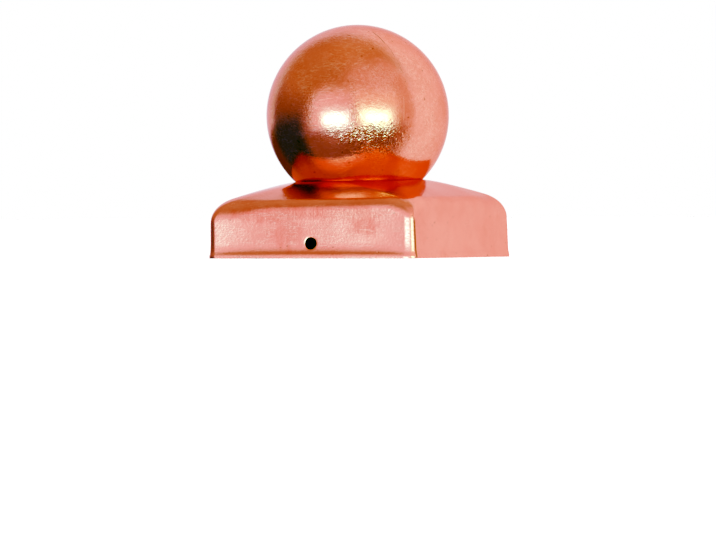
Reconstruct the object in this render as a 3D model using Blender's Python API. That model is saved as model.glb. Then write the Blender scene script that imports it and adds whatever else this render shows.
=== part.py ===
"""Copper ball post cap: a pressed square cap with a hollow ball held in its crown.

Metres, +Z up. The origin is the middle of the open rim, and the cap stands on z = 0.
The skirt's nail holes are on the front (-Y) and back (+Y) faces.
"""

import math

import bmesh
import bpy

# Pressed cap
RIM_WIDTH = 0.100           # across the flats, over the lip
CAP_SHEET = 0.0006          # copper sheet thickness
LIP_EDGE = 0.0010           # upright trimmed edge at the rim
LIP_HEIGHT = 0.0032         # rim to where the lip's flare has run out
LIP_FLARE_DEG = 15.0        # flare from upright at the trimmed edge
SKIRT_HEIGHT = 0.0165       # rim to where the shoulder starts at a corner
SIDE_SKIRT_HEIGHT = 0.0204  # the same in the middle of a side
SKIRT_DRAFT_DEG = 1.6       # the skirt narrows upwards by this angle
CORNER_RADIUS = 0.0046      # upright corners, at the lip
SHOULDER_RADIUS = 0.0117    # bend from the skirt into the crown at a corner
SIDE_SHOULDER_RADIUS = 0.0064  # the same in the middle of a side
SIDE_SPAN = 0.50            # share of a half side that has the side's own shoulder
CORNER_SPAN = 0.88          # share of a half side past which it has the corner's
CROWN_CORNER_RADIUS = 0.0078  # corners in plan where the crown starts
CROWN_RISE = 0.0168         # shoulder start at a corner to the neck
CROWN_BOW = 1.25            # 1 is a straight slope to the neck, more is fuller

# Nail holes
NAIL_HOLE_DIAMETER = 0.00535
NAIL_HOLE_HEIGHT = 0.0065   # rim to the hole's centre

# Ball
BALL_DIAMETER = 0.0792
BALL_SHEET = 0.0006
NECK_RADIUS = 0.0276        # ball's radius where it enters the crown
FLANGE_GRIP = 0.0015        # flange's reach under the crown, past the hole's edge
SEAM_CLEARANCE = 0.0003     # between the ball and the crown, all round

# Facets
SIDE_STEPS = 6              # from the middle of a side to a corner's arc
CORNER_STEPS = 4            # half of a corner's arc
LIP_STEPS = 3
SHOULDER_STEPS = 5
CROWN_STEPS = 6
HOLE_SIDES = 24
BALL_SIDES = 48
BALL_OUTER_STEPS = 17
BALL_INNER_STEPS = 15
FOLD_STEPS = 3

SHARP_ANGLE = math.radians(30)
WELD_DISTANCE = 1e-6

COPPER = (0.93, 0.48, 0.31, 1.0)
SHINY_COPPER = (0.93, 0.45, 0.27, 1.0)

# Worked out from the sizes above
LIP_FLARE = math.radians(LIP_FLARE_DEG)
SKIRT_DRAFT = math.radians(SKIRT_DRAFT_DEG)
BALL_RADIUS = BALL_DIAMETER / 2
NECK_HEIGHT = SKIRT_HEIGHT + CROWN_RISE
BALL_CENTRE = NECK_HEIGHT + math.sqrt(BALL_RADIUS**2 - NECK_RADIUS**2)
CROWN_HOLE_RADIUS = math.sqrt(
    (BALL_RADIUS + SEAM_CLEARANCE) ** 2 - (BALL_CENTRE - NECK_HEIGHT) ** 2
)


def clear_scene():
    """Removes what a new Blender file holds."""
    for obj in list(bpy.data.objects):
        bpy.data.objects.remove(obj, do_unlink=True)


def metal(name, colour, roughness):
    """A plain bare-metal material."""
    material = bpy.data.materials.new(name)
    material.use_nodes = True
    shader = material.node_tree.nodes["Principled BSDF"]
    shader.inputs["Base Color"].default_value = colour
    shader.inputs["Metallic"].default_value = 1.0
    shader.inputs["Roughness"].default_value = roughness
    return material


def add_object(name, bm, material=None):
    """Makes an object from a bmesh, shaded smooth up to its sharp edges."""
    bmesh.ops.recalc_face_normals(bm, faces=bm.faces)
    mesh = bpy.data.meshes.new(name)
    bm.to_mesh(mesh)
    bm.free()
    mesh.shade_smooth()
    mesh.set_sharp_from_angle(angle=SHARP_ANGLE)
    if material is not None:
        mesh.materials.append(material)
    obj = bpy.data.objects.new(name, mesh)
    bpy.context.scene.collection.objects.link(obj)
    return obj


def square_reach(half, corner, angle):
    """How far a rounded square reaches at a polar angle from 0 to 45 degrees."""
    centre = half - corner
    if math.tan(angle) <= centre / half:
        return half / math.cos(angle)
    along = centre * (math.cos(angle) + math.sin(angle))
    return along + math.sqrt(corner**2 - centre**2 * (1 - math.sin(2 * angle)))


def octant_angles(half, corner, roundness):
    """Polar angles of a ring's points from 0 to 45 degrees.

    They crowd at the corner on a square ring (roundness 0), and are even on a round one.
    """
    centre = half - corner
    square = [
        math.atan2(centre * step / SIDE_STEPS, half) for step in range(SIDE_STEPS)
    ]
    for step in range(CORNER_STEPS + 1):
        turn = math.pi / 4 * step / CORNER_STEPS
        square.append(
            math.atan2(
                centre + corner * math.sin(turn),
                centre + corner * math.cos(turn),
            )
        )
    last = len(square) - 1
    return [
        (1 - roundness) * angle + roundness * math.pi / 4 * index / last
        for index, angle in enumerate(square)
    ]


def lip_and_skirt(skirt_height):
    """Half width and height from the rim to the shoulder."""
    rim_half = RIM_WIDTH / 2
    flare_radius = (LIP_HEIGHT - LIP_EDGE) / (math.sin(LIP_FLARE) - math.sin(SKIRT_DRAFT))
    section = [(rim_half, 0.0), (rim_half, LIP_EDGE)]
    for step in range(1, LIP_STEPS + 1):
        lean = LIP_FLARE + (SKIRT_DRAFT - LIP_FLARE) * step / LIP_STEPS
        section.append(
            (
                rim_half - flare_radius * (math.cos(lean) - math.cos(LIP_FLARE)),
                LIP_EDGE + flare_radius * (math.sin(LIP_FLARE) - math.sin(lean)),
            )
        )
    foot_half, foot_height = section[-1]
    narrowing = (skirt_height - foot_height) * math.tan(SKIRT_DRAFT)
    section.append((foot_half - narrowing, skirt_height))
    return section


def shoulder_point(skirt_top, radius, bend):
    """Half width and height on the shoulder, turned by bend from the skirt's draft."""
    lean = SKIRT_DRAFT + bend
    half = skirt_top[0] - radius * (math.cos(SKIRT_DRAFT) - math.cos(lean))
    height = skirt_top[1] + radius * (math.sin(lean) - math.sin(SKIRT_DRAFT))
    return half, height


def shoulder_sweep(skirt_top, radius):
    """The shoulder's bend at which it runs smoothly into the crown's slope."""
    low, high = 0.0, math.pi / 2 - SKIRT_DRAFT
    for _ in range(50):
        bend = (low + high) / 2
        half, height = shoulder_point(skirt_top, radius, bend)
        crown_slope = CROWN_BOW * (NECK_HEIGHT - height) / (half - CROWN_HOLE_RADIUS)
        if 1 / math.tan(SKIRT_DRAFT + bend) > crown_slope:
            low = bend
        else:
            high = bend
    return bend


def crown_height(out, start_height):
    """Height of the crown, where out is 1 at the shoulder and 0 at the neck."""
    return NECK_HEIGHT - (NECK_HEIGHT - start_height) * out**CROWN_BOW


def outer_section(skirt_height, shoulder_radius):
    """Half width and height of the outer face, from the rim to the hole in the crown."""
    section = lip_and_skirt(skirt_height)
    skirt_top = section[-1]
    sweep = shoulder_sweep(skirt_top, shoulder_radius)
    for step in range(1, SHOULDER_STEPS + 1):
        bend = sweep * step / SHOULDER_STEPS
        section.append(shoulder_point(skirt_top, shoulder_radius, bend))
    start_half, start_height = section[-1]
    for step in range(1, CROWN_STEPS + 1):
        out = 1 - step / CROWN_STEPS
        half = CROWN_HOLE_RADIUS + (start_half - CROWN_HOLE_RADIUS) * out
        section.append((half, crown_height(out, start_height)))
    return section


def plan_corners(section):
    """Corner radius and roundness in plan of each ring of the corner's section."""
    shapes = [
        (CORNER_RADIUS + half - RIM_WIDTH / 2, 0.0)
        for half, _ in section[: -SHOULDER_STEPS - CROWN_STEPS]
    ]
    skirt_corner = shapes[-1][0]
    for step in range(1, SHOULDER_STEPS + 1):
        share = (step / SHOULDER_STEPS) ** 2
        shapes.append((skirt_corner + (CROWN_CORNER_RADIUS - skirt_corner) * share, 0.0))
    for step in range(1, CROWN_STEPS + 1):
        inwards = step / CROWN_STEPS
        corner = CROWN_CORNER_RADIUS + (CROWN_HOLE_RADIUS - CROWN_CORNER_RADIUS) * inwards
        shapes.append((corner, inwards))
    return shapes


def cornerness(angle):
    """0 where the side's own shoulder holds and 1 where the corner's does."""
    share = (math.tan(angle) - SIDE_SPAN) / (CORNER_SPAN - SIDE_SPAN)
    share = min(max(share, 0.0), 1.0)
    return share * share * (3 - 2 * share)


def ring_points(side, at_corner, corner, roundness):
    """The points of a whole ring, counter-clockwise from +X.

    side and at_corner are its half width and height there.
    """
    octant = []
    for angle in octant_angles(at_corner[0], corner, roundness):
        blend = cornerness(angle)
        half = side[0] + (at_corner[0] - side[0]) * blend
        height = side[1] + (at_corner[1] - side[1]) * blend
        octant.append((angle, square_reach(half, corner, angle), height))
    quarter = octant + [
        (math.pi / 2 - angle, far, height) for angle, far, height in octant[-2:0:-1]
    ]
    return [
        (far * math.cos(angle + turn), far * math.sin(angle + turn), height)
        for turn in (0, math.pi / 2, math.pi, 3 * math.pi / 2)
        for angle, far, height in quarter
    ]


def cap_rings():
    """Points of each ring of the cap's outer face, from the rim to the crown's hole."""
    side = outer_section(SIDE_SKIRT_HEIGHT, SIDE_SHOULDER_RADIUS)
    at_corner = outer_section(SKIRT_HEIGHT, SHOULDER_RADIUS)
    return [
        ring_points(side_row, corner_row, corner, roundness)
        for side_row, corner_row, (corner, roundness) in zip(
            side, at_corner, plan_corners(at_corner)
        )
    ]


def crown_underside(radius):
    """Height of the crown's underside on an axis, at this radius from the middle."""
    skirt_top = lip_and_skirt(SIDE_SKIRT_HEIGHT)[-1]
    sweep = shoulder_sweep(skirt_top, SIDE_SHOULDER_RADIUS)
    start_half, start_height = shoulder_point(skirt_top, SIDE_SHOULDER_RADIUS, sweep)
    reach = start_half - CROWN_HOLE_RADIUS
    out = (radius - CROWN_HOLE_RADIUS) / reach
    slope = CROWN_BOW * (NECK_HEIGHT - start_height) / reach * out ** (CROWN_BOW - 1)
    return crown_height(out, start_height) - CAP_SHEET * math.hypot(1, slope)


def add_ring(bm, points):
    verts = [bm.verts.new(point) for point in points]
    return [
        bm.edges.new((vert, verts[(index + 1) % len(verts)]))
        for index, vert in enumerate(verts)
    ]


def add_nail_hole_cutter():
    """A bar along Y that punches the nail holes through the front and back faces."""
    bm = bmesh.new()
    bmesh.ops.create_cone(
        bm,
        cap_ends=True,
        segments=HOLE_SIDES,
        radius1=NAIL_HOLE_DIAMETER / 2,
        radius2=NAIL_HOLE_DIAMETER / 2,
        depth=RIM_WIDTH * 1.2,
    )
    cutter = add_object("nail_hole_cutter", bm)
    cutter.location = (0, 0, NAIL_HOLE_HEIGHT)
    cutter.rotation_euler = (math.pi / 2, 0, 0)
    cutter.hide_render = True
    cutter.display_type = "WIRE"
    return cutter


def build_cap_base(material):
    """The pressed cap: lip, skirt, shoulder and crown in one sheet."""
    bm = bmesh.new()
    rings = [add_ring(bm, points) for points in cap_rings()]
    for below, above in zip(rings, rings[1:]):
        bmesh.ops.bridge_loops(bm, edges=below + above)
    base = add_object("cap_base", bm, material)

    sheet = base.modifiers.new("sheet", "SOLIDIFY")
    sheet.thickness = CAP_SHEET
    sheet.offset = -1
    sheet.use_even_offset = True
    sheet.use_quality_normals = True

    holes = base.modifiers.new("nail_holes", "BOOLEAN")
    holes.operation = "DIFFERENCE"
    holes.object = add_nail_hole_cutter()
    return base


def polar(centre, radius, angle):
    """A point (radius from the axis, height) at an angle from +X round a centre."""
    return centre[0] + radius * math.cos(angle), centre[1] + radius * math.sin(angle)


def arc(centre, radius, start, end, steps):
    return [
        polar(centre, radius, start + (end - start) * step / steps)
        for step in range(steps + 1)
    ]


def ball_profile():
    """The ball's section from its outer top, round the flange, to its inner top."""
    middle = (0.0, BALL_CENTRE)
    grip = CROWN_HOLE_RADIUS + FLANGE_GRIP
    edge = (grip, crown_underside(grip) - SEAM_CLEARANCE)
    under_hole = (CROWN_HOLE_RADIUS, NECK_HEIGHT - CAP_SHEET - SEAM_CLEARANCE)

    # The flange's upper face runs through both points, and inwards to the ball.
    slope = math.atan2(edge[1] - under_hole[1], edge[0] - under_hole[0])
    run = (math.cos(slope), math.sin(slope))
    to_edge = (edge[0] - middle[0], edge[1] - middle[1])
    along = to_edge[0] * run[0] + to_edge[1] * run[1]
    across = to_edge[0] * run[1] - to_edge[1] * run[0]
    inwards = along - math.sqrt(BALL_RADIUS**2 - across**2)
    fold = (edge[0] - inwards * run[0], edge[1] - inwards * run[1])

    fold_angle = math.atan2(fold[1] - middle[1], fold[0] - middle[0])
    down = slope - math.pi / 2
    outside = arc(middle, BALL_RADIUS, math.pi / 2, fold_angle, BALL_OUTER_STEPS)
    edge_below = polar(edge, BALL_SHEET, down)
    bend = arc(fold, BALL_SHEET, down, fold_angle - math.pi, FOLD_STEPS)
    inner_radius = BALL_RADIUS - BALL_SHEET
    inside = arc(middle, inner_radius, fold_angle, math.pi / 2, BALL_INNER_STEPS)
    return outside + [edge, edge_below] + bend + inside[1:]


def build_ball(material):
    """The hollow ball, flanged under the crown and open to the cap's inside."""
    bm = bmesh.new()
    profile = ball_profile()
    verts = [bm.verts.new((radius, 0, height)) for radius, height in profile]
    edges = [bm.edges.new(pair) for pair in zip(verts, verts[1:])]
    bmesh.ops.spin(
        bm,
        geom=verts + edges,
        axis=(0, 0, 1),
        cent=(0, 0, 0),
        angle=2 * math.pi,
        steps=BALL_SIDES,
        use_merge=True,
    )
    bmesh.ops.remove_doubles(bm, verts=bm.verts, dist=WELD_DISTANCE)
    return add_object("ball", bm, material)


clear_scene()
build_cap_base(metal("cap_copper", COPPER, 0.16))
build_ball(metal("ball_copper", SHINY_COPPER, 0.14))
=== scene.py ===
"""Looks of the copper ball post cap: fine sheet metal, copper finishes and a soft studio."""

import math

import bmesh
import bpy
from mathutils import Matrix, Vector, noise


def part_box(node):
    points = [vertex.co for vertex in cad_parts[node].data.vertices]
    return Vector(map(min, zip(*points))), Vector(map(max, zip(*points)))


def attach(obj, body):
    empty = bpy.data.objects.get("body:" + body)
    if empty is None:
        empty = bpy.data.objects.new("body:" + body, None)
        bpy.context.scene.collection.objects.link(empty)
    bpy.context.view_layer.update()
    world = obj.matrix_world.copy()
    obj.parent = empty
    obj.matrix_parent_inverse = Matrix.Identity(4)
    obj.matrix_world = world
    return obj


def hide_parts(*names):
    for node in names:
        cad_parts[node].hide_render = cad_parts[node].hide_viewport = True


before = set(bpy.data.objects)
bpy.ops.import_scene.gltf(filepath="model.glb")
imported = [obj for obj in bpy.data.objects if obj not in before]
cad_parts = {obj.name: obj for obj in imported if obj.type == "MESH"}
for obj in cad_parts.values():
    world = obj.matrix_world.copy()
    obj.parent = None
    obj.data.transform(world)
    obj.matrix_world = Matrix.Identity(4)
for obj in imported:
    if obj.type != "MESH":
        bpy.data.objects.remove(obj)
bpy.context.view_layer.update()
_, CAP_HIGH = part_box("cap_base")

# Sizes of the solids, in metres
CAP_SHEET = 0.0006
LIP_EDGE = 0.0010
LIP_HEIGHT = 0.0032
LIP_FLARE = math.radians(15.0)
SKIRT_HEIGHT = 0.0165       # at a corner
SIDE_SKIRT_HEIGHT = 0.0204  # in the middle of a side
SKIRT_DRAFT = math.radians(1.6)
CORNER_RADIUS = 0.0046
SHOULDER_RADIUS = 0.0117
SIDE_SHOULDER_RADIUS = 0.0064
# Where the side's section starts to turn into the corner's and where it ends, as shares of
# the half width: round the front left and back right corners, then round the other two
SPANS = ((0.36, 0.88), (0.72, 0.97))
CROWN_CORNER_RADIUS = 0.0078
CROWN_BOW = 1.25
NAIL_HOLE_RADIUS = 0.002675
NAIL_HOLE_HEIGHT = 0.0065
BALL_RADIUS = 0.0396
BALL_SHEET = 0.0006
NECK_RADIUS = 0.0276
FLANGE_GRIP = 0.0015
FLANGE_DROP = 0.0009        # the flange's upper face, below the neck
FLANGE_SLOPE = math.radians(-9)

RIM_HALF = CAP_HIGH.x
NECK_HEIGHT = CAP_HIGH.z
BALL_CENTRE = NECK_HEIGHT + math.sqrt(BALL_RADIUS**2 - NECK_RADIUS**2)

# Fine meshes
SIDE_STEPS = 36
CORNER_STEPS = 12
LIP_STEPS = 8
SKIRT_STEPS = 14
SHOULDER_STEPS = 20
CROWN_STEPS = 26
WINDOW_COLUMNS = 4          # skirt columns each side of a nail hole that its dimple takes up
WINDOW_ROWS = 10
WINDOW_DROP = 4             # rows of it below the foot of the skirt
DIMPLE_LOOPS = 9
BALL_SIDES = 256
BALL_STEPS = 150
BALL_INNER_STEPS = 60
FOLD_STEPS = 6
TRIM_BEVEL = 0.00012        # rounding of the trimmed edges
TRIM_ANGLE = math.radians(50)
CAP_SHARP = math.radians(18)
BALL_SHARP = math.radians(40)

# Camera, turned round the cap from its front face
CAMERA_AZIMUTH = math.radians(25.6)
CAMERA_DISTANCE = 2.55
CAMERA_HEIGHT = 0.018
CAMERA_PITCH = math.radians(-0.527)
CAMERA_ROLL = math.radians(-0.25)
CAMERA_SIDESTEP = -0.00115
LENS = 295.4
SENSOR = 36.0
TO_CAMERA = Vector((math.sin(CAMERA_AZIMUTH), -math.cos(CAMERA_AZIMUTH), 0))
TO_RIGHT = Vector((math.cos(CAMERA_AZIMUTH), math.sin(CAMERA_AZIMUTH), 0))

# Small faults of the real pressing
SIDE_BOW = 0.0005           # how far the middle of a side stands out
LEAN = math.radians(0.96)   # how far the crown and ball lean over the trimmed rim
LEAN_AXIS = TO_CAMERA
LEAN_PIVOT = Vector((0, 0, 0.003))
DIMPLE_DEPTH = 0.00007      # how far the metal round a nail hole is pressed in
DIMPLE_REACH = 0.0011
# Bending radius of the front right and back left corners, as shares of the true radius,
# by how far the face has turned from the front or back, in degrees
CORNER_TURN = ((0, 1.85), (18, 1.80), (28, 1.20), (44, 0.92), (54, 0.34), (90, 0.28))
SKEW = 0.0010               # how far the front right corner stands in from the right
LIP_GROOVE = 0.0009         # how far the sides are drawn in just above the lip
LIP_GROOVE_FOOT = 0.0017    # where that starts, and over what height it comes
LIP_GROOVE_HEIGHT = 0.0042
BALL_FLAT = 0.00035         # how much lower the top of the ball is
# Slow and quick waves of each sheet: scale, where in the noise, and height
CAP_WAVES = ((38.0, Vector((3.1, 7.7, 1.9)), 0.00010), (95.0, Vector((9.4, 2.3, 5.2)), 0.00003))
BALL_WAVES = ((30.0, Vector((1.3, 4.1, 8.8)), 0.00012), (110.0, Vector((6.2, 0.7, 3.5)), 0.000022))


# Mesh helpers


def square_reach(half, corner, angle):
    """How far a rounded square reaches at a polar angle from 0 to 45 degrees."""
    centre = half - corner
    if math.tan(angle) <= centre / half:
        return half / math.cos(angle)
    along = centre * (math.cos(angle) + math.sin(angle))
    under_root = corner**2 - centre**2 * (1 - math.sin(2 * angle))
    return along + math.sqrt(max(under_root, 0.0))


def octant_angles(half, corner, roundness):
    """Polar angles of a ring's points, crowded at the corner or even round a circle."""
    centre = half - corner
    square = [
        math.atan2(centre * step / SIDE_STEPS, half) for step in range(SIDE_STEPS)
    ]
    for step in range(CORNER_STEPS + 1):
        turn = math.pi / 4 * step / CORNER_STEPS
        x = centre + corner * math.cos(turn)
        y = centre + corner * math.sin(turn)
        square.append(math.atan2(y, x))
    last = len(square) - 1
    return [
        (1 - roundness) * angle + roundness * math.pi / 4 * index / last
        for index, angle in enumerate(square)
    ]


def smooth_step(value):
    value = min(max(value, 0.0), 1.0)
    return value * value * (3 - 2 * value)


def waves(point, kinds):
    return sum(height * noise.noise(point * scale + place) for scale, place, height in kinds)


def leaned(point):
    """A point of the finished sheet, turned by the lean of what is above the rim."""
    share = smooth_step(point.z / SKIRT_HEIGHT)
    return LEAN_PIVOT + Matrix.Rotation(LEAN * share, 3, LEAN_AXIS) @ (point - LEAN_PIVOT)


def add_piece(name, bm, materials):
    """Makes a smooth object from a bmesh and lets it ride on the one body."""
    mesh = bpy.data.meshes.new(name)
    bm.to_mesh(mesh)
    bm.free()
    mesh.shade_smooth()
    for material in materials:
        mesh.materials.append(material)
    obj = bpy.data.objects.new(name, mesh)
    bpy.context.scene.collection.objects.link(obj)
    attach(obj, "root")
    return obj


# Pressed cap


def lip_and_skirt(skirt_height):
    """Half width and height from the rim to the shoulder, and the row of the skirt's foot."""
    radius = (LIP_HEIGHT - LIP_EDGE) / (math.sin(LIP_FLARE) - math.sin(SKIRT_DRAFT))
    section = [(RIM_HALF, 0.0), (RIM_HALF, LIP_EDGE / 2), (RIM_HALF, LIP_EDGE)]
    for step in range(1, LIP_STEPS + 1):
        lean = LIP_FLARE + (SKIRT_DRAFT - LIP_FLARE) * step / LIP_STEPS
        half = RIM_HALF - radius * (math.cos(lean) - math.cos(LIP_FLARE))
        section.append((half, LIP_EDGE + radius * (math.sin(LIP_FLARE) - math.sin(lean))))
    foot_row = len(section) - 1
    foot_half, foot_height = section[-1]
    for step in range(1, SKIRT_STEPS + 1):
        rise = (skirt_height - foot_height) * step / SKIRT_STEPS
        section.append((foot_half - rise * math.tan(SKIRT_DRAFT), foot_height + rise))
    return section, foot_row


def shoulder_point(skirt_top, radius, bend):
    lean = SKIRT_DRAFT + bend
    half = skirt_top[0] - radius * (math.cos(SKIRT_DRAFT) - math.cos(lean))
    height = skirt_top[1] + radius * (math.sin(lean) - math.sin(SKIRT_DRAFT))
    return half, height


def shoulder_sweep(skirt_top, radius):
    """The shoulder's bend at which it runs smoothly into the crown's slope."""
    low, high = 0.0, math.pi / 2 - SKIRT_DRAFT
    for _ in range(50):
        bend = (low + high) / 2
        half, height = shoulder_point(skirt_top, radius, bend)
        slope = CROWN_BOW * (NECK_HEIGHT - height) / (half - NECK_RADIUS)
        if 1 / math.tan(SKIRT_DRAFT + bend) > slope:
            low = bend
        else:
            high = bend
    return bend


def outer_section(skirt_height, radius):
    """Half width and height from the rim to the neck."""
    section, _ = lip_and_skirt(skirt_height)
    skirt_top = section[-1]
    sweep = shoulder_sweep(skirt_top, radius)
    for step in range(1, SHOULDER_STEPS + 1):
        section.append(shoulder_point(skirt_top, radius, sweep * step / SHOULDER_STEPS))
    start_half, start_height = section[-1]
    for step in range(1, CROWN_STEPS + 1):
        out = 1 - step / CROWN_STEPS
        half = NECK_RADIUS + (start_half - NECK_RADIUS) * out
        section.append((half, NECK_HEIGHT - (NECK_HEIGHT - start_height) * out**CROWN_BOW))
    return section


def plan_corners(section):
    """Corner radius and roundness in plan of each ring."""
    shapes = [
        (CORNER_RADIUS + half - RIM_HALF, 0.0)
        for half, _ in section[: -SHOULDER_STEPS - CROWN_STEPS]
    ]
    skirt_corner = shapes[-1][0]
    for step in range(1, SHOULDER_STEPS + 1):
        share = (step / SHOULDER_STEPS) ** 2
        shapes.append((skirt_corner + (CROWN_CORNER_RADIUS - skirt_corner) * share, 0.0))
    for step in range(1, CROWN_STEPS + 1):
        inwards = step / CROWN_STEPS
        corner = CROWN_CORNER_RADIUS + (NECK_RADIUS - CROWN_CORNER_RADIUS) * inwards
        shapes.append((corner, inwards))
    return shapes


def uneven_arc(degrees):
    """How far the uneven corner has gone along and in from the face, in corner radii."""
    along, inwards = 0.0, 0.0
    steps = max(math.ceil(degrees), 1)
    for step in range(steps):
        turn = degrees * (step + 0.5) / steps
        for (start, start_radius), (end, end_radius) in zip(CORNER_TURN, CORNER_TURN[1:]):
            if start <= turn <= end:
                radius = start_radius + (end_radius - start_radius) * (turn - start) / (end - start)
        length = radius * math.radians(degrees / steps)
        along += length * math.cos(math.radians(turn))
        inwards += length * math.sin(math.radians(turn))
    return along, inwards


UNEVEN_ALONG, UNEVEN_INWARDS = uneven_arc(90.0)


def uneven(point, half, corner, share):
    """A ring's point, moved to where the uneven corners put it."""
    if share == 0 or point.x * point.y >= 0:
        return point
    x, y = abs(point.x), abs(point.y)
    centre = half - corner
    if x > centre and y > centre:
        along, inwards = uneven_arc(math.degrees(math.atan2(x - centre, y - centre)))
        new_x = half - (UNEVEN_ALONG - along) * corner
        new_y = half - inwards * corner
    elif y > centre:
        new_x, new_y = x * (half - UNEVEN_ALONG * corner) / centre, y
    else:
        new_x, new_y = x, y * (half - UNEVEN_INWARDS * corner) / centre
    new_x = math.copysign(x + (new_x - x) * share, point.x)
    new_y = math.copysign(y + (new_y - y) * share, point.y)
    return Vector((new_x, new_y, point.z))


def ring_points(side, at_corner, corner, roundness):
    """The points of a whole ring, counter-clockwise from +X."""
    points = []
    for index, (start, end) in enumerate(SPANS * 2):
        octant = []
        for angle in octant_angles(at_corner[0], corner, roundness):
            blend = smooth_step((math.tan(angle) - start) / (end - start))
            half = side[0] + (at_corner[0] - side[0]) * blend
            height = side[1] + (at_corner[1] - side[1]) * blend
            octant.append((angle, square_reach(half, corner, angle), height))
        mirrored = [(math.pi / 2 - angle, far, height) for angle, far, height in octant[-2:0:-1]]
        for angle, far, height in octant + mirrored:
            angle += index * math.pi / 2
            points.append(Vector((far * math.cos(angle), far * math.sin(angle), height)))
    return points


def cap_rings():
    """Points of each ring of the cap's outer face, from the rim to the neck."""
    side = outer_section(SIDE_SKIRT_HEIGHT, SIDE_SHOULDER_RADIUS)
    at_corner = outer_section(SKIRT_HEIGHT, SHOULDER_RADIUS)
    upright = len(side) - SHOULDER_STEPS - CROWN_STEPS
    rings = []
    for row, (corner, roundness) in enumerate(plan_corners(at_corner)):
        ring = ring_points(side[row], at_corner[row], corner, roundness)
        share = 1 - smooth_step((row - upright) / (SHOULDER_STEPS * 0.7))
        rings.append([uneven(point, at_corner[row][0], corner, share) for point in ring])
    return rings


def half_at(section, height):
    """Half width of the skirt at a height."""
    for (low_half, low), (high_half, high) in zip(section, section[1:]):
        if low <= height < high:
            return low_half + (high_half - low_half) * (height - low) / (high - low)
    return section[-1][0]


def add_dimple(bm, rows, bottom, middle, outward):
    """Fills the gap left in the skirt with a nail hole and the dimple round it."""
    section, _ = lip_and_skirt(SIDE_SKIRT_HEIGHT)
    left, right = middle - WINDOW_COLUMNS, middle + WINDOW_COLUMNS
    top = bottom + WINDOW_ROWS
    edge = [rows[bottom][column] for column in range(left, right)]
    edge += [rows[row][right] for row in range(bottom, top)]
    edge += [rows[top][column] for column in range(right, left, -1)]
    edge += [rows[row][left] for row in range(top, bottom, -1)]

    hole = Vector((0.0, 0.0, NAIL_HOLE_HEIGHT))
    loops = [edge]
    for loop in range(1, DIMPLE_LOOPS + 1):
        share = (loop / DIMPLE_LOOPS) ** 0.7
        ring = []
        for vert in edge:
            away = vert.co - hole
            angle = math.atan2(away.z, away.x)
            rim = Vector((math.cos(angle), 0.0, math.sin(angle))) * NAIL_HOLE_RADIUS
            point = away.lerp(rim, share)
            far = math.hypot(point.x, point.z) - NAIL_HOLE_RADIUS
            sunk = DIMPLE_DEPTH * (1 - smooth_step(far / DIMPLE_REACH)) ** 2
            place = hole + point
            place.y = outward * (half_at(section, place.z) - sunk)
            ring.append(bm.verts.new(place))
        loops.append(ring)
    for outer, inner in zip(loops, loops[1:]):
        for index in range(len(edge)):
            after = (index + 1) % len(edge)
            bm.faces.new((outer[index], outer[after], inner[after], inner[index]))


def cap_waviness(point):
    """How far the pressed sheet stands off its true face: waves, bowed sides and the groove."""
    fade = smooth_step((NECK_HEIGHT - point.z) / 0.004)
    along = min(abs(point.x), abs(point.y)) / RIM_HALF
    upright = smooth_step((SIDE_SKIRT_HEIGHT + 0.004 - point.z) / 0.008)
    bow = SIDE_BOW * (1 - along**2) ** 2 * upright
    above_lip = min(max((point.z - LIP_GROOVE_FOOT) / LIP_GROOVE_HEIGHT, 0.0), 1.0)
    groove = LIP_GROOVE * (1 - (1 - above_lip) ** 2) * (1 - along**4) * upright
    return fade * waves(point, CAP_WAVES) + bow - groove


def skewed(point):
    """A point of the sheet, drawn in with the front right corner."""
    along = max(point.x, 0.0) / RIM_HALF
    forward = 0.5 - point.y / (2 * RIM_HALF)
    low_down = 1 - smooth_step((point.z - SKIRT_HEIGHT) / 0.010)
    return point - Vector((SKEW * along**2 * forward * low_down, 0, 0))


def outer_sheet():
    """The cap's outer face, as one open mesh with its nail holes and dimples."""
    bm = bmesh.new()
    _, foot_row = lip_and_skirt(SKIRT_HEIGHT)
    rows = [[bm.verts.new(point) for point in ring] for ring in cap_rings()]
    around = len(rows[0])
    quarter = around // 4
    middles = {quarter: 1, 3 * quarter: -1}
    bottom = foot_row - WINDOW_DROP
    window_rows = range(bottom, bottom + WINDOW_ROWS)
    skipped = {
        (row, column)
        for middle in middles
        for column in range(middle - WINDOW_COLUMNS, middle + WINDOW_COLUMNS)
        for row in window_rows
    }
    for row, (below, above) in enumerate(zip(rows, rows[1:])):
        for column in range(around):
            if (row, column) in skipped:
                continue
            after = (column + 1) % around
            bm.faces.new((below[column], below[after], above[after], above[column]))
    for middle, outward in middles.items():
        add_dimple(bm, rows, bottom, middle, outward)
        inside = [
            rows[row][column]
            for row in range(bottom + 1, bottom + WINDOW_ROWS)
            for column in range(middle - WINDOW_COLUMNS + 1, middle + WINDOW_COLUMNS)
        ]
        bmesh.ops.delete(bm, geom=inside, context="VERTS")
    bmesh.ops.recalc_face_normals(bm, faces=bm.faces)
    bm.normal_update()
    return bm


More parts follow.
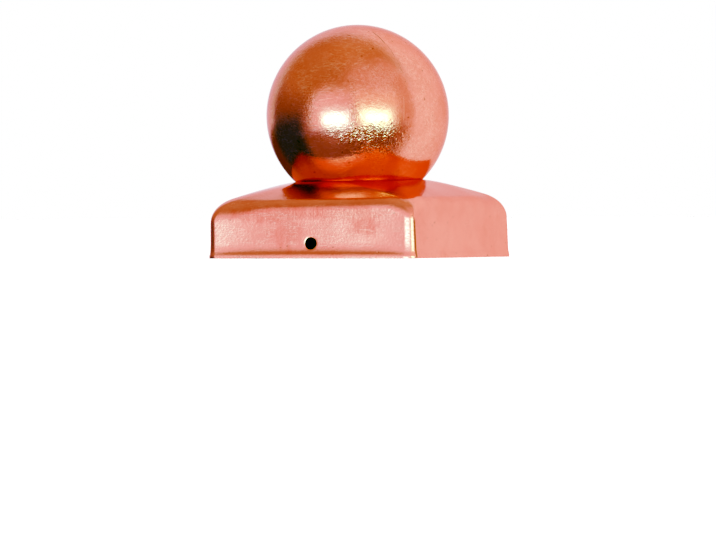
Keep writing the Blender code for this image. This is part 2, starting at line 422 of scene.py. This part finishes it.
def build_cap(sheet_material, inside_material, edge_material):
    bm = outer_sheet()
    moved = []
    for vert in bm.verts:
        level = Vector((1, 1, 1 if vert.co.z > LIP_EDGE * 1.5 else 0))
        wavy = vert.co + vert.normal * level * cap_waviness(vert.co)
        moved.append(leaned(skewed(wavy)))
    for vert, point in zip(bm.verts, moved):
        vert.co = point
    cap = add_piece("cap_sheet", bm, (sheet_material, inside_material, edge_material))
    cap.data.set_sharp_from_angle(angle=CAP_SHARP)
    sheet = cap.modifiers.new("sheet", "SOLIDIFY")
    sheet.thickness = CAP_SHEET
    sheet.offset = -1
    sheet.use_quality_normals = True
    sheet.material_offset = 1
    sheet.material_offset_rim = 2
    edge = cap.modifiers.new("trimmed_edge", "BEVEL")
    edge.width = TRIM_BEVEL
    edge.segments = 2
    edge.limit_method = "ANGLE"
    edge.angle_limit = TRIM_ANGLE
    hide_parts("cap_base")
    return cap


# Ball


def ball_profile():
    """Section of the ball as (radius, height, outer or not): outside, flange, inside."""
    middle = Vector((0.0, BALL_CENTRE))
    fold_height = NECK_HEIGHT - FLANGE_DROP
    fold = Vector((math.sqrt(BALL_RADIUS**2 - (BALL_CENTRE - fold_height) ** 2), fold_height))
    fold_angle = math.atan2(fold.y - middle.y, fold.x)
    edge = Vector((NECK_RADIUS + FLANGE_GRIP, 0.0))
    edge.y = fold.y + (edge.x - fold.x) * math.tan(FLANGE_SLOPE)

    def arc(centre, radius, start, end, steps):
        angles = [start + (end - start) * step / steps for step in range(steps + 1)]
        return [centre + radius * Vector((math.cos(a), math.sin(a))) for a in angles]

    down = FLANGE_SLOPE - math.pi / 2
    outside = arc(middle, BALL_RADIUS, math.pi / 2, fold_angle, BALL_STEPS)
    below = edge + BALL_SHEET * Vector((math.cos(down), math.sin(down)))
    bend = arc(fold, BALL_SHEET, down, fold_angle - math.pi, FOLD_STEPS)
    inside = arc(middle, BALL_RADIUS - BALL_SHEET, fold_angle, math.pi / 2, BALL_INNER_STEPS)
    return outside, [edge, below] + bend + inside[1:]


def ball_waviness(point):
    """How far the spun ball stands off a true sphere."""
    fade = smooth_step((point.z - NECK_HEIGHT) / 0.006)
    flat = BALL_FLAT * smooth_step((point.z - BALL_CENTRE) / BALL_RADIUS)
    return fade * waves(point, BALL_WAVES) - flat


def build_ball(outside_material, inside_material):
    bm = bmesh.new()
    outside, rest = ball_profile()
    profile = outside + rest
    verts = [bm.verts.new((point.x, 0, point.y)) for point in profile]
    edges = [bm.edges.new(pair) for pair in zip(verts, verts[1:])]
    bmesh.ops.spin(
        bm,
        geom=verts + edges,
        axis=(0, 0, 1),
        cent=(0, 0, 0),
        angle=2 * math.pi,
        steps=BALL_SIDES,
        use_merge=True,
    )
    bmesh.ops.remove_doubles(bm, verts=bm.verts, dist=1e-6)
    bmesh.ops.recalc_face_normals(bm, faces=bm.faces)
    middle = Vector((0, 0, BALL_CENTRE))
    for face in bm.faces:
        reach = (face.calc_center_median() - middle).length
        face.material_index = 0 if reach > BALL_RADIUS - BALL_SHEET / 2 else 1
    for vert in bm.verts:
        away = vert.co - middle
        vert.co = leaned(vert.co + away.normalized() * ball_waviness(vert.co))
    ball = add_piece("ball_shell", bm, (outside_material, inside_material))
    ball.data.set_sharp_from_angle(angle=BALL_SHARP)
    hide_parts("ball")
    return ball


# Node helpers


class Tree:
    """Adds and links the nodes of one material or world."""

    def __init__(self, tree):
        self.tree = tree

    def node(self, kind, inputs=None, **settings):
        node = self.tree.nodes.new(kind)
        for name, value in settings.items():
            setattr(node, name, value)
        for name, value in (inputs or {}).items():
            self.put(node.inputs[name], value)
        return node

    def put(self, socket, value):
        if isinstance(value, bpy.types.NodeSocket):
            self.tree.links.new(value, socket)
        else:
            socket.default_value = value

    def math(self, operation, a, b=0.0):
        return self.node("ShaderNodeMath", {0: a, 1: b}, operation=operation).outputs[0]

    def product(self, *factors):
        total = factors[0]
        for factor in factors[1:]:
            total = self.math("MULTIPLY", total, factor)
        return total

    def dot(self, a, b):
        node = self.node("ShaderNodeVectorMath", {0: a, 1: b}, operation="DOT_PRODUCT")
        return node.outputs["Value"]

    def ramp(self, value, low, high, to_low=0.0, to_high=1.0):
        """Smoothly maps low..high to to_low..to_high."""
        inputs = {
            "Value": value,
            "From Min": low,
            "From Max": high,
            "To Min": to_low,
            "To Max": to_high,
        }
        node = self.node("ShaderNodeMapRange", inputs, interpolation_type="SMOOTHSTEP")
        return node.outputs["Result"]

    def mix(self, factor, a, b):
        node = self.node("ShaderNodeMix", data_type="RGBA")
        self.put(node.inputs["Factor"], factor)
        self.put(node.inputs[6], a)
        self.put(node.inputs[7], b)
        return node.outputs[2]

    def tint(self, colour, mask, strength, towards):
        """The colour, drawn towards another one where the mask is, by a strength."""
        return self.mix(self.product(mask, strength), colour, (*towards, 1))

    def noise(self, vector, scale, detail=2.0, roughness=0.5):
        inputs = {"Vector": vector, "Scale": scale, "Detail": detail, "Roughness": roughness}
        return self.node("ShaderNodeTexNoise", inputs).outputs["Fac"]

    def ragged(self, vector, scale, depth):
        """Fine noise about zero, which frays the edges of a patch."""
        return self.product(self.math("SUBTRACT", self.noise(vector, scale, 3.0), 0.5), depth)

    def bump(self, shader, height, distance):
        inputs = {"Strength": 1.0, "Distance": distance, "Height": height}
        self.put(shader.inputs["Normal"], self.node("ShaderNodeBump", inputs).outputs["Normal"])

    def scaled(self, vector, scale, rotation=(0, 0, 0)):
        inputs = {"Vector": vector, "Scale": scale, "Rotation": rotation}
        return self.node("ShaderNodeMapping", inputs).outputs["Vector"]


def step_at(tree, value, place, feather):
    return tree.ramp(value, place - feather / 2, place + feather / 2)


def band(tree, value, span, feathers):
    """1 within the span, falling to 0 over the feather on each side."""
    rise = step_at(tree, value, span[0], feathers[0])
    fall = tree.math("SUBTRACT", 1.0, step_at(tree, value, span[1], feathers[1]))
    return tree.product(rise, fall)


COPPER_EDGE_TINT = (0.86, 0.58, 0.57, 1)  # copper stays copper-coloured at a glancing angle


def new_material(name):
    material = bpy.data.materials.new(name)
    material.use_nodes = True
    material.node_tree.nodes.clear()
    tree = Tree(material.node_tree)
    shader = tree.node(
        "ShaderNodeBsdfPrincipled", {"Metallic": 1.0, "Specular Tint": COPPER_EDGE_TINT}
    )
    output = tree.node("ShaderNodeOutputMaterial")
    tree.put(output.inputs["Surface"], shader.outputs["BSDF"])
    place = tree.node("ShaderNodeTexCoord").outputs["Object"]
    return material, tree, shader, place


def scratches(tree, place, spacing, thinness, turns):
    """Thin broken lines in several directions, 0 to 1."""
    total = None
    for index, turn in enumerate(turns):
        stretched = tree.scaled(place, (spacing * 0.08, spacing, spacing), turn)
        wander = tree.noise(stretched, 1.0, 1.0)
        off_middle = tree.math("ABSOLUTE", tree.math("SUBTRACT", wander, 0.5))
        line = tree.ramp(off_middle, 0.0, thinness, 1.0, 0.0)
        gate = tree.ramp(tree.noise(place, 90.0 + 17.0 * index, 0.0), 0.50, 0.60)
        line = tree.product(line, gate)
        total = line if total is None else tree.math("MAXIMUM", total, line)
    return total


def on_ball(azimuth_deg, elevation_deg):
    """Direction from the ball's centre; azimuth 0 is the front face, 90 the right one."""
    azimuth, elevation = math.radians(azimuth_deg), math.radians(elevation_deg)
    return Vector(
        (
            math.sin(azimuth) * math.cos(elevation),
            -math.cos(azimuth) * math.cos(elevation),
            math.sin(elevation),
        )
    )


def score(tree, direction, start, end, half_width):
    """One scratch between two places on the ball, 0 to 1."""
    start, end = on_ball(*start), on_ball(*end)
    across = start.cross(end).normalized()
    middle = (start + end).normalized()
    reach = start.dot(middle)
    along = tree.ramp(tree.dot(direction, middle), reach - 0.002, reach + 0.004)
    offset = tree.math("ABSOLUTE", tree.dot(direction, across))
    aside = tree.ramp(offset, half_width * 0.4, half_width, 1.0, 0.0)
    return tree.product(along, aside)


def oval(tree, across, up, middle, reach, ragged):
    """A soft oval patch of two coordinates, 0 to 1, with a ragged edge."""
    parts = []
    for value, centre, size in zip((across, up), middle, reach):
        share = tree.math("DIVIDE", tree.math("SUBTRACT", value, centre), size)
        parts.append(tree.product(share, share))
    far = tree.math("ADD", tree.math("SQRT", tree.math("ADD", *parts)), ragged)
    return tree.ramp(far, 0.4, 1.3, 1.0, 0.0)


# Stains on the cap's front face: place along the face and height, reaches, strength
STAINS = (
    ((-0.0120, 0.0110), (0.0085, 0.0075), 0.70),
    ((0.0255, 0.0140), (0.0066, 0.0052), 1.30),
    ((-0.0180, 0.0190), (0.0240, 0.0036), 0.85),
    ((0.0100, 0.0195), (0.0280, 0.0032), 0.85),
    ((0.0020, 0.0095), (0.0160, 0.0080), 0.30),
)
STAIN_COLOUR = (0.80, 0.235, 0.185)
# Painted shade: a dark line where the front right corner meets the right face: from and to, along Y
PAINTED_CORNER_SHADE = (-0.0477, -0.0467)
# The metal is smoother on the crown, between these heights and above
CALM_HEIGHTS = (0.025, 0.031)
CAP_SCRATCH_TURNS = ((0.2, 0.4, 0.3), (1.1, 0.2, 1.4), (0.5, 1.9, 2.5))


def painted_corner_shade_mask(tree, axes):
    """The painted shade line beside the front right corner, 0 to 1."""
    on_right = tree.ramp(axes["X"], 0.0470, 0.0480)
    low_down = tree.ramp(axes["Z"], 0.015, 0.018, 1.0, 0.0)
    return tree.product(band(tree, axes["Y"], PAINTED_CORNER_SHADE, (0.0004, 0.0004)), on_right, low_down)


def cap_colour(tree, place, axes, lines):
    tone = tree.ramp(tree.noise(place, 60.0, 4.0), 0.35, 0.65)
    colour = tree.mix(tone, (0.87, 0.352, 0.283, 1), (0.89, 0.388, 0.315, 1))
    ragged = tree.ragged(place, 260.0, 1.4)
    on_front = tree.ramp(axes["Y"], -0.046, -0.044, 1.0, 0.0)
    for middle, reach, strength in STAINS:
        patch = oval(tree, axes["X"], axes["Z"], middle, reach, ragged)
        colour = tree.tint(colour, tree.product(patch, on_front), strength, STAIN_COLOUR)
    blotch = tree.ramp(tree.noise(place, 150.0, 3.0), 0.55, 0.72)
    colour = tree.tint(colour, blotch, 0.30, (0.82, 0.29, 0.225))
    streaks = tree.noise(tree.scaled(place, (1300.0, 1300.0, 70.0)), 1.0, 2.0)
    colour = tree.tint(colour, tree.ramp(streaks, 0.35, 0.75), 0.20, (0.91, 0.43, 0.34))
    # Painted shade: darkens the line beside the front right corner
    colour = tree.tint(colour, painted_corner_shade_mask(tree, axes), 0.9, (0.40, 0.13, 0.06))
    # Painted shade: the left face is darkened near the front left corner
    on_left = tree.ramp(axes["X"], -0.0494, -0.0486, 1.0, 0.0)
    shade = tree.product(on_left, tree.ramp(axes["Y"], -0.044, -0.040, 1.0, 0.0))
    colour = tree.tint(colour, shade, 0.7, (0.42, 0.20, 0.20))
    specks = tree.ramp(tree.noise(place, 760.0, 0.0), 0.82, 0.87)
    colour = tree.tint(colour, specks, 0.6, (0.35, 0.10, 0.05))
    return tree.tint(colour, lines, 0.25, (0.98, 0.55, 0.46))


def cap_copper():
    material, tree, shader, place = new_material("cap_copper")
    axes = tree.node("ShaderNodeSeparateXYZ", {0: place}).outputs
    lines = scratches(tree, place, 900.0, 0.03, CAP_SCRATCH_TURNS)
    tree.put(shader.inputs["Base Color"], cap_colour(tree, place, axes, lines))

    rough = tree.ramp(tree.noise(place, 80.0, 4.0), 0.3, 0.7, 0.14, 0.20)
    rough = tree.math("ADD", rough, tree.product(lines, 0.08))
    rough = tree.product(rough, tree.ramp(axes["Z"], *CALM_HEIGHTS, 1.0, 0.6))
    tree.put(shader.inputs["Roughness"], rough)

    grain = tree.noise(place, 900.0, 2.0, 0.5)
    height = tree.math("ADD", grain, tree.product(lines, 0.15))
    height = tree.product(height, tree.ramp(axes["Z"], *CALM_HEIGHTS, 1.0, 0.3))
    tree.bump(shader, height, 0.00005)
    return material


# Rough patches of the ball, where the grain also gets painted glints and painted shade: azimuth and
# elevation of the middle, reaches, depth of the grain and of its painted speckle
GRAIN_AND_SPECKLE_PATCHES = (
    ((36.5, -17.0), (20.0, 11.0), 1.10),
    ((15.0, -13.0), (16.0, 6.0), 0.44),
    ((-7.0, 8.0), (7.0, 12.0), 0.33),
    ((23.0, 5.0), (4.0, 12.0), 0.33),
)
# Duller oval of the ball, high on its front left
DULL_PATCH = ((-6.0, 44.0), (46.0, 26.0))
# Long scratches on the ball: azimuth and elevation of both ends, half width, strength
DARK_SCORES = (
    ((49.0, 65.0), (54.0, 50.5), 0.0060, 0.70),
    ((55.0, 50.0), (57.0, 38.0), 0.0050, 0.30),
    ((57.6, 37.0), (58.5, 26.7), 0.0050, 0.25),
)
LIGHT_SCORES = (
    ((56.0, 11.0), (55.5, -5.0), 0.0045, 0.50),
    ((4.0, 35.0), (14.0, 27.0), 0.0040, 0.45),
    ((-4.0, 30.0), (8.0, 38.0), 0.0040, 0.40),
    ((9.0, 27.5), (20.0, 36.0), 0.0040, 0.50),
    ((11.0, 40.0), (5.0, 26.0), 0.0040, 0.35),
    ((32.0, 35.5), (23.0, 32.0), 0.0040, 0.40),
    ((-8.0, 41.0), (4.0, 45.0), 0.0040, 0.35),
)


BALL_SCRATCH_TURNS = ((0.3, 0.2, 0.6), (1.2, 0.5, 1.1), (0.1, 1.6, 2.2))
# Painted shade and painted glint: the dark and light flecks laid on the rough patches
PAINTED_SPECKLE_SHADE = (0.42, 0.12, 0.05)
PAINTED_SPECKLE_GLINT = (1.0, 0.66, 0.46)


def from_ball_centre(tree, place):
    """Direction of a place on the ball from the ball's own centre."""
    middle = leaned(Vector((0, 0, BALL_CENTRE)))
    offset = tree.node("ShaderNodeVectorMath", {0: place, 1: middle}, operation="SUBTRACT")
    inputs = {0: offset.outputs["Vector"]}
    return tree.node("ShaderNodeVectorMath", inputs, operation="NORMALIZE").outputs["Vector"]


def ball_angles(tree, direction):
    """Azimuth and elevation on the ball, in degrees."""
    axes = tree.node("ShaderNodeSeparateXYZ", {0: direction}).outputs
    turn = tree.math("ARCTAN2", axes["X"], tree.product(axes["Y"], -1.0))
    elevation = tree.math("DEGREES", tree.math("ARCSINE", axes["Z"]))
    return tree.math("DEGREES", turn), elevation


def ball_lines(tree, place, direction):
    """Fine scratches all over the ball and the longer ones on its front, 0 to 1."""
    lines = scratches(tree, place, 800.0, 0.04, BALL_SCRATCH_TURNS)
    for start, end, half_width, strength in LIGHT_SCORES:
        mark = score(tree, direction, start, end, half_width)
        lines = tree.math("MAXIMUM", lines, tree.product(mark, strength * 2))
    return lines


def ball_colour(tree, place, direction, lines, pits_and_painted_speckle):
    tone = tree.ramp(tree.noise(place, 70.0, 5.0, 0.6), 0.35, 0.65)
    colour = tree.mix(tone, (0.82, 0.318, 0.240, 1), (0.87, 0.358, 0.277, 1))
    mottle = tree.ramp(tree.noise(place, 480.0, 3.0, 0.7), 0.45, 0.68)
    colour = tree.tint(colour, mottle, 0.55, (0.92, 0.42, 0.345))
    specks = tree.ramp(tree.noise(place, 640.0, 0.0), 0.79, 0.84)
    colour = tree.tint(colour, specks, 0.5, (0.35, 0.09, 0.04))
    colour = tree.tint(colour, lines, 0.45, (0.99, 0.60, 0.48))
    for start, end, half_width, strength in DARK_SCORES:
        mark = score(tree, direction, start, end, half_width)
        colour = tree.tint(colour, mark, strength, (0.20, 0.05, 0.02))
    # Painted glints and painted shade: light and dark flecks on the rough patches, for the speckled
    # reflection of the grain
    painted_speckle = tree.noise(place, 1500.0, 1.0)
    colour = tree.tint(colour, tree.ramp(painted_speckle, 0.38, 0.50, 0.85, 0.0), pits_and_painted_speckle, PAINTED_SPECKLE_SHADE)
    return tree.tint(colour, tree.ramp(painted_speckle, 0.55, 0.66, 0.0, 0.8), pits_and_painted_speckle, PAINTED_SPECKLE_GLINT)


def ball_copper():
    material, tree, shader, place = new_material("ball_copper")
    direction = from_ball_centre(tree, place)
    azimuth, elevation = ball_angles(tree, direction)
    lines = ball_lines(tree, place, direction)
    ragged = tree.ragged(place, 330.0, 1.6)
    pits_and_painted_speckle = 0.0
    for middle, reach, depth in GRAIN_AND_SPECKLE_PATCHES:
        patch = oval(tree, azimuth, elevation, middle, reach, ragged)
        pits_and_painted_speckle = tree.math("ADD", pits_and_painted_speckle, tree.product(patch, depth))
    colour = ball_colour(tree, place, direction, lines, pits_and_painted_speckle)
    tree.put(shader.inputs["Base Color"], colour)

    rough = tree.ramp(tree.noise(place, 70.0, 4.0), 0.3, 0.7, 0.12, 0.17)
    rough = tree.math("ADD", rough, tree.product(lines, 0.08))
    tree.put(shader.inputs["Roughness"], rough)

    uneven_depth = tree.ramp(tree.noise(place, 520.0, 1.0), 0.30, 0.70, 0.35, 1.5)
    pits = tree.node("ShaderNodeTexVoronoi", {"Vector": place, "Scale": 1400.0}).outputs["Distance"]
    dull = oval(tree, azimuth, elevation, *DULL_PATCH, ragged)
    weight = tree.math("ADD", 0.32, tree.product(dull, 0.75))
    weight = tree.product(weight, tree.ramp(elevation, -40.0, -26.0, 0.25, 1.0))
    height = tree.product(tree.noise(place, 950.0, 2.0, 0.5), weight)
    height = tree.math("ADD", height, tree.product(pits, pits_and_painted_speckle, uneven_depth))
    height = tree.math("ADD", height, tree.product(lines, 0.05))
    tree.bump(shader, height, 0.00012)
    return material


def inside_copper(name):
    """The duller copper of the hidden inside faces."""
    material, tree, shader, place = new_material(name)
    tone = tree.ramp(tree.noise(place, 70.0, 4.0), 0.3, 0.7)
    tree.put(
        shader.inputs["Base Color"],
        tree.mix(tone, (0.62, 0.24, 0.15, 1), (0.80, 0.36, 0.25, 1)),
    )
    tree.put(shader.inputs["Roughness"], tree.ramp(tone, 0.0, 1.0, 0.34, 0.46))
    tree.bump(shader, tree.noise(place, 900.0, 3.0, 0.6), 0.00002)
    return material


def edge_copper():
    """Bright sheared metal on the trimmed edges."""
    material, tree, shader, place = new_material("edge_copper")
    streak = tree.noise(tree.scaled(place, (1500.0, 1500.0, 120.0)), 1.0, 2.0)
    tree.put(
        shader.inputs["Base Color"],
        tree.mix(streak, (0.90, 0.36, 0.26, 1), (0.95, 0.46, 0.36, 1)),
    )
    tree.put(shader.inputs["Roughness"], tree.ramp(streak, 0.3, 0.7, 0.28, 0.40))
    return material


# Studio: the light comes from all round, painted on the world by azimuth and elevation


PLAIN_WHITE = (1, 1, 1, 1)
# Each panel of the studio, in the order they are laid over each other: azimuth from and to,
# the two feathers, elevation from and to, the two feathers, all in degrees, then its light.
# Azimuth 0 is behind the camera's first place, and positive is on its right.
PANELS = (
    ("zenith", (-181, 181), (1, 1), (62, 91), (30, 1), (0.68, 0.52, 0.44)),
    ("haze", (-18, 78), (56, 14), (8, 66), (10, 34), (0.84, 0.70, 0.70)),
    ("low_haze", (-52, 50), (30, 20), (8, 34), (10, 22), (0.92, 0.84, 0.86)),
    ("dusk", (-140, -70), (8, 12), (-91, 17), (1, 26), (0.31, 0.20, 0.29)),
    ("floor", (-72, 64), (12, 10), (-91, -16), (1, 12), (0.31, 0.19, 0.31)),
    ("floor_glow", (-46, 24), (44, 50), (-34, -12), (16, 8), (0.54, 0.41, 0.43)),
    ("dark_side", (-141, -76), (6, 14), (-91, 0), (1, 16), (0.11, 0.11, 0.33)),
    ("dark_corner", (-181, -138), (1, 12), (-91, 0), (1, 10), (0.19, 0.13, 0.24)),
    ("left_glow", (-63, -2), (16, 10), (-18, 24), (10, 24), (0.98, 0.98, 1.08)),
    ("right_glow", (-2, 54), (10, 16), (-13, 26), (7, 26), (1.04, 1.08, 0.96)),
    ("left_bloom", (-47, -7), (14, 14), (-19, 8), (14, 16), (1.09, 1.85, 2.05)),
    ("right_bloom", (1, 48), (12, 16), (-15, 10), (11, 16), (1.09, 1.80, 1.60)),
    ("left_box", (-45, -14), (15, 13), (-12, 0), (10, 11), (1.65, 4.90, 5.00)),
    ("right_box", (7, 40), (13, 15), (-10, 4), (8, 13), (1.65, 4.80, 4.10)),
    ("gap", (55, 80), (10, 1), (-91, 60), (1, 30), (0.84, 0.68, 0.67)),
    ("low_gap", (53, 66), (8, 8), (-91, -8), (1, 12), (0.56, 0.40, 0.42)),
    ("left_wall", (-181, -131), (1, 12), (-4, 28), (4, 34), (0.72, 0.91, 0.95)),
)
CEILING = (0.58, 0.44, 0.38)
# The white wall: all directions within a span of its middle, at the right and behind,
# from one azimuth on the right round to one on the left
WALL_MIDDLE = (142, -8.6)
WALL_SPAN = 75
WALL_FEATHER = 24
WALL_EDGES = (75, -131)
WALL_EDGE_FEATHERS = (9, 12)
# Its light on the right, behind and on the left
WALL_NEAR = (1.01, 1.08, 1.09)
WALL_FAR = (1.00, 1.05, 1.06)
WALL_LEFT = (0.92, 1.12, 1.30)


def paint_panels(tree, azimuth, elevation):
    """The ceiling's colour with each panel laid over it."""
    colour = (*CEILING, 1)
    for _, azimuths, azimuth_feathers, elevations, elevation_feathers, light in PANELS:
        across = band(tree, azimuth, azimuths, azimuth_feathers)
        up = band(tree, elevation, elevations, elevation_feathers)
        colour = tree.mix(tree.product(across, up), colour, (*light, 1))
    return colour


def wall_mask(tree, direction, azimuth, elevation):
    """Where the white wall is, 0 to 1: a cap of the sky between its two edges."""
    turn, tilt = (math.radians(value) for value in WALL_MIDDLE)
    out = TO_CAMERA * math.cos(turn) + TO_RIGHT * math.sin(turn)
    middle = out * math.cos(tilt) + Vector((0, 0, math.sin(tilt)))
    away = tree.math("DEGREES", tree.math("ARCCOSINE", tree.dot(direction, middle)))
    near = tree.math("SUBTRACT", 1.0, step_at(tree, away, WALL_SPAN, WALL_FEATHER))
    on_right = step_at(tree, azimuth, WALL_EDGES[0], WALL_EDGE_FEATHERS[0])
    beyond = step_at(tree, azimuth, WALL_EDGES[1], WALL_EDGE_FEATHERS[1])
    above = step_at(tree, elevation, -4.0, 4.0)
    on_left = tree.product(tree.math("SUBTRACT", 1.0, beyond), above)
    return tree.product(near, tree.math("MAXIMUM", on_right, on_left))


def wall_light(tree, direction, azimuth):
    behind = tree.ramp(azimuth, 90.0, 150.0)
    white = tree.mix(behind, (*WALL_NEAR, 1), (*WALL_FAR, 1))
    to_left = tree.ramp(tree.dot(direction, TO_RIGHT), -0.3, 0.3, 1.0, 0.0)
    return tree.mix(to_left, white, (*WALL_LEFT, 1))


def paint_studio():
    world = bpy.data.worlds.new("studio")
    bpy.context.scene.world = world
    world.use_nodes = True
    world.node_tree.nodes.clear()
    tree = Tree(world.node_tree)
    direction = tree.node("ShaderNodeTexCoord").outputs["Generated"]
    turn = tree.math("ARCTAN2", tree.dot(direction, TO_RIGHT), tree.dot(direction, TO_CAMERA))
    azimuth = tree.math("DEGREES", turn)
    height = tree.node("ShaderNodeSeparateXYZ", {0: direction}).outputs["Z"]
    elevation = tree.math("DEGREES", tree.math("ARCSINE", height))
    colour = paint_panels(tree, azimuth, elevation)
    wall = wall_mask(tree, direction, azimuth, elevation)
    colour = tree.mix(wall, colour, wall_light(tree, direction, azimuth))
    studio = tree.node("ShaderNodeBackground", {"Color": colour})
    backdrop = tree.node("ShaderNodeBackground", {"Color": PLAIN_WHITE})
    seen = tree.node("ShaderNodeLightPath").outputs["Is Camera Ray"]
    both = tree.node("ShaderNodeMixShader", {0: seen})
    tree.put(both.inputs[1], studio.outputs[0])
    tree.put(both.inputs[2], backdrop.outputs[0])
    output = tree.node("ShaderNodeOutputWorld")
    tree.put(output.inputs["Surface"], both.outputs[0])
    world.cycles_visibility.diffuse = False


FLOOR_RADIUS = 40.0
FLOOR_SHADE = (0.86, 0.86, 0.86, 1)
CONTACT_HALF = RIM_HALF - 0.0012
CONTACT_HEIGHT = 0.0001
CONTACT_SHADE = (0.02, 0.02, 0.02, 1)
OVERHEAD_POWER = 4.2
OVERHEAD_ANGLE = math.radians(70)


def add_stage(name, bm, shade, roughness):
    """Makes one plain matt surface of the studio."""
    mesh = bpy.data.meshes.new(name)
    bm.to_mesh(mesh)
    bm.free()
    material = bpy.data.materials.new(name)
    material.use_nodes = True
    shader = material.node_tree.nodes["Principled BSDF"]
    shader.inputs["Base Color"].default_value = shade
    shader.inputs["Roughness"].default_value = roughness
    shader.inputs["Specular IOR Level"].default_value = 0.0
    mesh.materials.append(material)
    obj = bpy.data.objects.new(name, mesh)
    bpy.context.scene.collection.objects.link(obj)
    return obj


def add_floor():
    """A plain pale floor, lit from above by a soft light that the copper doesn't mirror."""
    bm = bmesh.new()
    bmesh.ops.create_circle(bm, cap_ends=True, segments=96, radius=FLOOR_RADIUS)
    floor = add_stage("floor", bm, FLOOR_SHADE, 0.9)
    floor.visible_glossy = False

    # Painted shade: a black card on the ground under the open cap, which keeps its inside dark
    bm = bmesh.new()
    bmesh.ops.create_grid(bm, x_segments=1, y_segments=1, size=CONTACT_HALF)
    shade_card = add_stage("shade_card", bm, CONTACT_SHADE, 1.0)
    shade_card.location.z = CONTACT_HEIGHT

    sun = bpy.data.lights.new("overhead", "SUN")
    sun.energy = OVERHEAD_POWER
    sun.angle = OVERHEAD_ANGLE
    overhead = bpy.data.objects.new("overhead", sun)
    bpy.context.scene.collection.objects.link(overhead)
    overhead.visible_glossy = False


def add_camera():
    camera = bpy.data.cameras.new("camera")
    camera.lens = LENS
    camera.sensor_width = SENSOR
    camera.clip_start = 0.1
    camera.clip_end = 100
    obj = bpy.data.objects.new("camera", camera)
    bpy.context.scene.collection.objects.link(obj)
    obj.location = TO_CAMERA * CAMERA_DISTANCE + TO_RIGHT * CAMERA_SIDESTEP
    obj.location.z = CAMERA_HEIGHT
    level = Matrix((TO_RIGHT, Vector((0, 0, 1)), TO_CAMERA)).transposed()
    pitch = Matrix.Rotation(CAMERA_PITCH, 3, "X")
    roll = Matrix.Rotation(CAMERA_ROLL, 3, "Z")
    obj.rotation_euler = (level @ pitch @ roll).to_euler()
    bpy.context.scene.camera = obj


# A photographic toe: the weakest red, green and blue light prints as none
TONE_CURVES = (
    ((0.0, 0.0), (0.04, 0.0), (0.08, 0.003), (0.13, 0.054), (0.20, 0.150), (0.265, 0.242)),
    ((0.0, 0.0), (0.03, 0.004), (0.06, 0.022), (0.13, 0.066), (0.20, 0.150), (0.265, 0.242)),
    ((0.0, 0.0), (0.07, 0.0), (0.10, 0.008), (0.14, 0.045), (0.20, 0.135), (0.265, 0.235)),
)
TONE_SHOULDER = ((0.32, 0.302), (0.39, 0.380), (0.50, 0.50), (1.0, 1.0))


def set_tone():
    view = bpy.context.scene.view_settings
    view.view_transform = "Standard"
    view.use_curve_mapping = True
    for curve, toe in zip(view.curve_mapping.curves, TONE_CURVES):
        places = toe + TONE_SHOULDER
        curve.points[0].location = places[0]
        curve.points[1].location = places[-1]
        for place in places[1:-1]:
            curve.points.new(*place)
        for point in curve.points:
            point.handle_type = "AUTO_CLAMPED"
    view.curve_mapping.update()


build_cap(cap_copper(), inside_copper("cap_inside"), edge_copper())
build_ball(ball_copper(), inside_copper("ball_inside"))
paint_studio()
add_floor()
add_camera()
set_tone()
